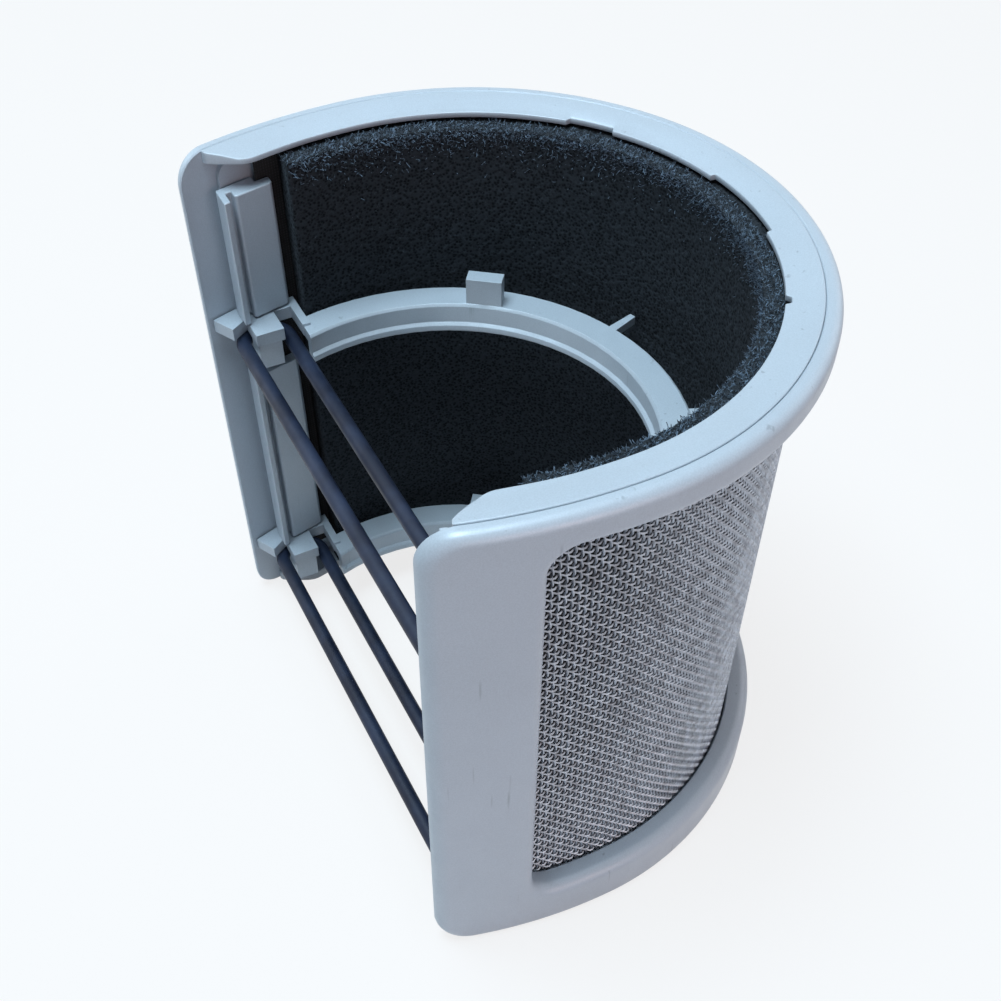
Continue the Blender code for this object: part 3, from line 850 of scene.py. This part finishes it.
@dataclass(frozen=True)
class Lining:
    """The gauze and the foam behind the screen, and the lint on the foam's cut edge."""

    arch: Arch
    gauze_inset: float = 4.95 * MM
    gauze_thick: float = 0.2 * MM
    gauze_end_y: float = -15.6 * MM
    gauze_low: float = 6.6 * MM
    gauze_high: float = 87.1 * MM
    foam_outer: float = 5.55 * MM
    foam_inner: float = 10.2 * MM
    foam_low: float = 2.2 * MM
    foam_high: float = 87.8 * MM
    foam_end_y: float = -11.7 * MM
    pore: float = 0.42 * MM
    pore_depth: float = 0.45 * MM
    lint_count: int = 13000
    lint_length: float = 0.75 * MM
    lint_radius: float = 0.05 * MM
    lint_depth: float = 1.3 * MM
    seed: int = 7

    def gauze(self, finishes: Finishes) -> None:
        """The gauze: two even skins a fifth of a millimetre apart, closed along their edges."""
        end = self.arch.length_at(self.gauze_end_y)
        s = np.linspace(-end, end, 200)
        z = np.linspace(self.gauze_low, self.gauze_high, 12)
        heights = np.concatenate([z, z[::-1]])
        insets = self.gauze_inset + self.gauze_thick * (np.arange(24) >= 12)
        rows = self.arch.at(s[:, None], insets[None, :], heights[None, :])
        piece = swept("gauze_cloth", rows, closed=False)
        layer = piece.data.uv_layers.new(name="weave")
        corner = np.zeros(len(piece.data.loops), int)
        piece.data.loops.foreach_get("vertex_index", corner)
        flat = np.stack(np.broadcast_arrays(s[:, None], heights[None, :]), -1).reshape(-1, 2)
        layer.data.foreach_set("uv", flat[corner].ravel())
        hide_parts("inner_gauze")
        finishes.dress(piece, Slot.GAUZE)

    def roughness(self, shape: tuple[int, int], rng: np.random.Generator) -> np.ndarray:
        """Heights from 0 to 1 that rise and fall from pore to pore: random values, softened once."""
        rough = rng.random(shape)
        soft = (np.roll(rough, 1, 0) + np.roll(rough, -1, 0) + np.roll(rough, 1, 1)
                + np.roll(rough, -1, 1)) / 4
        return 0.45 * rough + 0.55 * soft

    def foam(self, finishes: Finishes, rng: np.random.Generator) -> None:
        """The foam: a slab carried along the arch, with its inner face and edges eaten by pores."""
        end = self.arch.length_at(self.foam_end_y)
        s = np.linspace(-end, end, int(2 * end / self.pore))
        z = np.linspace(self.foam_low, self.foam_high, int((self.foam_high - self.foam_low) / self.pore))
        across = np.linspace(self.foam_outer, self.foam_inner, 11)
        insets = np.concatenate([np.full(8, self.foam_outer), across[1:-1],
                                 np.full(len(z), self.foam_inner), across[1:-1][::-1]])
        heights = np.concatenate([np.linspace(self.foam_low, self.foam_high, 8),
                                  np.full(9, self.foam_high), z[::-1], np.full(9, self.foam_low)])
        depth = self.pore_depth * self.roughness((len(s), len(insets)), rng)
        inner = insets > self.foam_outer + 1e-6
        top = inner & (heights > self.foam_high - 1e-6)
        bottom = inner & (heights < self.foam_low + 1e-6)
        insets = insets[None, :] - depth * (inner & ~top & ~bottom | (insets >= self.foam_inner))
        heights = heights[None, :] - depth * top + depth * bottom
        rows = self.arch.at(s[:, None], insets, heights)
        piece = swept("foam_lining", rows, closed=False, sharp_deg=180.0)
        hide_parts("foam_liner")
        finishes.dress(piece, Slot.FOAM)

    def lint_and_glint(self, finishes: Finishes, rng: np.random.Generator) -> None:
        """The lint: short fibres rooted along the foam's upper inner edge, curling up and inwards.

        A fibre's point at share t is its root, plus t times its heading, plus t squared times a
        droop to one side.
        """
        end = self.arch.length_at(self.foam_end_y)
        count = self.lint_count
        s = rng.uniform(-end, end, count)
        on_top = rng.random(count) < 0.55
        drop = np.where(on_top, 0.0, np.minimum(rng.exponential(self.lint_depth, count), 9 * MM))
        depth = np.where(on_top, rng.uniform(1.9 * MM, 4.5 * MM, count), 4.3 * MM)
        root = self.arch.at(s, self.foam_outer + depth, self.foam_high - 0.4 * MM - drop)
        inward = self.arch.at(s, self.foam_outer + depth + 1.0 * MM, self.foam_high - 0.4 * MM - drop)
        inward = inward - root
        inward /= np.linalg.norm(inward, axis=1, keepdims=True)
        along = np.cross(inward, np.array([0.0, 0.0, 1.0]))
        out = np.where(on_top, rng.uniform(-0.5, 0.5, count), rng.uniform(0.3, 1.0, count))
        heading = inward * out[:, None] + along * rng.normal(0, 0.5, (count, 1))
        heading[:, 2] = np.where(on_top, rng.uniform(0.3, 0.9, count), rng.uniform(-0.3, 0.6, count))
        droop = rng.normal(0, 0.35, (count, 3))
        length = self.lint_length * rng.uniform(0.35, 1.0, (count, 1, 1))
        t = np.linspace(0, 1, 3)[None, :, None]
        paths = root[:, None] + length * (t * heading[:, None] + t**2 * droop[:, None])
        piece = tubes("foam_edge_lint", paths, self.lint_radius, 3, closed=False)
        finishes.dress(piece, Slot.FOAM, finish=finishes.lint_and_glint)

    def build(self, finishes: Finishes) -> None:
        """Model the layers and dress them."""
        rng = np.random.default_rng(self.seed)
        self.gauze(finishes)
        self.foam(finishes, rng)
        self.lint_and_glint(finishes, rng)


@dataclass(frozen=True)
class Mouldings:
    """The cradle rings and the clamp bars: silver mouldings with eased edges."""

    ring_ease: float = 0.28 * MM
    bar_ease: float = 0.3 * MM
    rings: tuple[str, ...] = ("lower_cradle_ring", "upper_cradle_ring")
    bars: tuple[str, ...] = (
        "left_lower_clamp_bar",
        "right_lower_clamp_bar",
        "left_upper_clamp_bar",
        "right_upper_clamp_bar",
    )

    def build(self, finishes: Finishes) -> None:
        """Ease each moulding's edges and dress it."""
        for names, ease in ((self.rings, self.ring_ease), (self.bars, self.bar_ease)):
            for node in names:
                finishes.dress(merged_copy(node + "_moulding", node, ease), Slot.SILVER)


@dataclass(frozen=True)
class RubberBand:
    """A round rubber cord in a long loop over a hook at each end."""

    node: str
    body: str
    radius: float = 1.2 * MM
    sides: int = 20
    turn_steps: int = 40
    straight_steps: int = 60

    def build(self, finishes: Finishes) -> None:
        """Model the loop and dress it: two half circles joined by straight runs, all at one height."""
        low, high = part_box(self.node)
        spread = (high.y - low.y) / 2 - self.radius
        reach = high.x - self.radius - spread
        middle = (low + high) / 2
        a = np.linspace(-np.pi / 2, np.pi / 2, self.turn_steps + 1)
        right = np.stack([reach + spread * np.cos(a), spread * np.sin(a)], -1)
        run = np.stack([np.linspace(reach, -reach, self.straight_steps + 1)[1:-1],
                        np.full(self.straight_steps - 1, spread)], -1)
        plan = np.concatenate([right, run, -right, -run])
        path = np.column_stack([plan[:, 0], plan[:, 1] + middle.y, np.full(len(plan), middle.z)])
        piece = tubes(self.node + "_cord", path[None], self.radius, self.sides, closed=True)
        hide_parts(self.node)
        finishes.dress(piece, Slot.RUBBER, body=self.body)


# --- studio ------------------------------------------------------------------------------------


@dataclass(frozen=True)
class View:
    """The camera: turned about the middle of the shield, then slid in its own plane."""

    azimuth_deg: float = 61.915
    elevation_deg: float = 45.035
    roll_deg: float = 0.777
    distance: float = 204.06 * MM
    slide: tuple[float, float] = (7.443 * MM, -1.275 * MM)
    lens_mm: float = 47.436
    shift: tuple[float, float] = (-0.02333, 0.0132)

    def build(self, arch: Arch) -> None:
        """Place the camera and make it the scene's own."""
        az, el, roll = (math.radians(v) for v in (self.azimuth_deg, self.elevation_deg, self.roll_deg))
        back = Vector((math.sin(az) * math.cos(el), -math.cos(az) * math.cos(el), math.sin(el)))
        level = Vector((math.cos(az), math.sin(az), 0.0))
        lift = back.cross(level)
        right = math.cos(roll) * level + math.sin(roll) * lift
        up = math.cos(roll) * lift - math.sin(roll) * level
        data = bpy.data.cameras.new("camera")
        data.sensor_width = 36.0
        data.lens = self.lens_mm
        data.shift_x, data.shift_y = self.shift
        data.clip_start = 0.005
        camera = bpy.data.objects.new("camera", data)
        bpy.context.scene.collection.objects.link(camera)
        target = Vector((0.0, arch.middle_y, arch.height / 2))
        place = target + right * self.slide[0] + up * self.slide[1] + back * self.distance
        turn = Matrix((right, up, back)).transposed().to_4x4()
        camera.matrix_world = Matrix.Translation(place) @ turn
        bpy.context.scene.camera = camera


@dataclass(frozen=True)
class Lamp:
    """A soft rectangular lamp that faces the shield."""

    name: str
    place: tuple[float, float, float]
    size: float
    power: float
    colour: tuple[float, float, float]

    def build(self, target: Vector) -> None:
        """Hang the lamp and aim it."""
        data = bpy.data.lights.new(self.name, "AREA")
        data.shape = "SQUARE"
        data.size = self.size
        data.energy = self.power
        data.color = self.colour
        lamp = bpy.data.objects.new(self.name, data)
        lamp.location = self.place
        aim = target - Vector(self.place)
        lamp.rotation_euler = aim.to_track_quat("-Z", "Y").to_euler()
        bpy.context.scene.collection.objects.link(lamp)


@dataclass(frozen=True)
class Studio:
    """A pale floor, a pale surround and soft lamps, the largest overhead."""

    floor_size: float = 6.0
    floor_glow: float = 0.80
    ambient: tuple[float, float, float] = (0.68, 0.80, 1.0)
    ambient_strength: float = 0.15
    lamps: tuple[Lamp, ...] = (
        Lamp("overhead", (-0.02, -0.14, 0.80), 0.40, 7.5, (0.66, 0.87, 1.0)),
        Lamp("side_fill", (0.95, 0.10, 0.14), 0.45, 2.6, (1.0, 0.72, 0.70)),
        Lamp("left_fill", (-0.8, -0.35, 0.35), 0.6, 1.4, (0.84, 0.93, 1.0)),
        Lamp("back_fill", (-0.1, 0.9, 0.4), 0.6, 1.2, (0.92, 0.96, 1.0)),
    )

    def seen_directly(self, tree: bpy.types.NodeTree) -> bpy.types.NodeSocket:
        """1 for rays from the camera, a gloss or a clear surface, and 0 for the rest."""
        path = tree.nodes.new("ShaderNodeLightPath")
        total = path.outputs["Is Camera Ray"]
        for name in ("Is Glossy Ray", "Is Transmission Ray"):
            add = tree.nodes.new("ShaderNodeMath")
            add.operation = "MAXIMUM"
            tree.links.new(total, add.inputs[0])
            tree.links.new(path.outputs[name], add.inputs[1])
            total = add.outputs[0]
        return total

    def floor(self) -> None:
        """A pale floor that glows a little where it is seen, and keeps the shield's shadow."""
        half = self.floor_size / 2
        mesh = bpy.data.meshes.new("floor")
        corners = [(-half, -half, 0), (half, -half, 0), (half, half, 0), (-half, half, 0)]
        mesh.from_pydata(corners, [], [(0, 1, 2, 3)])
        floor = bpy.data.objects.new("floor", mesh)
        bpy.context.scene.collection.objects.link(floor)
        material = bpy.data.materials.new("floor")
        material.use_nodes = True
        tree = material.node_tree
        tree.nodes.clear()
        matt = tree.nodes.new("ShaderNodeBsdfDiffuse")
        matt.inputs["Color"].default_value = (0.72, 0.72, 0.73, 1.0)
        glow = tree.nodes.new("ShaderNodeEmission")
        share = tree.nodes.new("ShaderNodeMath")
        share.operation = "MULTIPLY"
        share.inputs[1].default_value = self.floor_glow
        tree.links.new(self.seen_directly(tree), share.inputs[0])
        mix = tree.nodes.new("ShaderNodeMixShader")
        tree.links.new(share.outputs[0], mix.inputs["Fac"])
        tree.links.new(matt.outputs[0], mix.inputs[1])
        tree.links.new(glow.outputs[0], mix.inputs[2])
        out = tree.nodes.new("ShaderNodeOutputMaterial")
        tree.links.new(mix.outputs[0], out.inputs["Surface"])
        mesh.materials.append(material)

    def surround(self) -> None:
        """A world that is white where it is seen and a soft cool grey where it lights."""
        world = bpy.data.worlds.new("surround")
        world.use_nodes = True
        tree = world.node_tree
        tree.nodes.clear()
        light = tree.nodes.new("ShaderNodeBackground")
        light.inputs["Color"].default_value = (*self.ambient, 1.0)
        light.inputs["Strength"].default_value = self.ambient_strength
        seen = tree.nodes.new("ShaderNodeBackground")
        seen.inputs["Color"].default_value = (1.0, 1.0, 1.0, 1.0)
        mix = tree.nodes.new("ShaderNodeMixShader")
        tree.links.new(self.seen_directly(tree), mix.inputs["Fac"])
        tree.links.new(light.outputs[0], mix.inputs[1])
        tree.links.new(seen.outputs[0], mix.inputs[2])
        out = tree.nodes.new("ShaderNodeOutputWorld")
        tree.links.new(mix.outputs[0], out.inputs["Surface"])
        bpy.context.scene.world = world

    def build(self, arch: Arch) -> None:
        """Set up the floor, the surround, the lamps and the view transform."""
        self.floor()
        self.surround()
        for lamp in self.lamps:
            lamp.build(Vector((0.0, 0.0, arch.height / 2)))
        bpy.context.scene.view_settings.view_transform = "Standard"


def clear_defaults() -> None:
    """Remove a new file's own cube, lamp and camera."""
    for piece in list(bpy.data.objects):
        if piece.name in ("Cube", "Light", "Camera") and "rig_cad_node" not in piece:
            bpy.data.objects.remove(piece)


def main() -> None:
    """Build the shield, sub-assembly by sub-assembly, and the studio around it."""
    logging.basicConfig(level=logging.INFO, format="%(message)s")
    clear_defaults()
    arch = Arch.from_box(*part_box("outer_shell"))
    finishes = Finishes()
    assemblies = (
        Shell(arch),
        Cover(arch, "top_cover_plate", "top_cover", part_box("top_cover")[0].z, slope=0.9 * MM),
        Cover(arch, "bottom_cover_plate", "bottom_cover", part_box("bottom_cover")[0].z, thin=1.9 * MM),
        WireScreen(arch),
        Lining(arch),
        Mouldings(),
        RubberBand("upper_elastic_band", "upper_band"),
        RubberBand("lower_elastic_band", "lower_band"),
    )
    for assembly in assemblies:
        LOG.info("building %s", type(assembly).__name__)
        assembly.build(finishes)
    Studio().build(arch)
    View().build(arch)


if __name__ == "__main__":
    main()
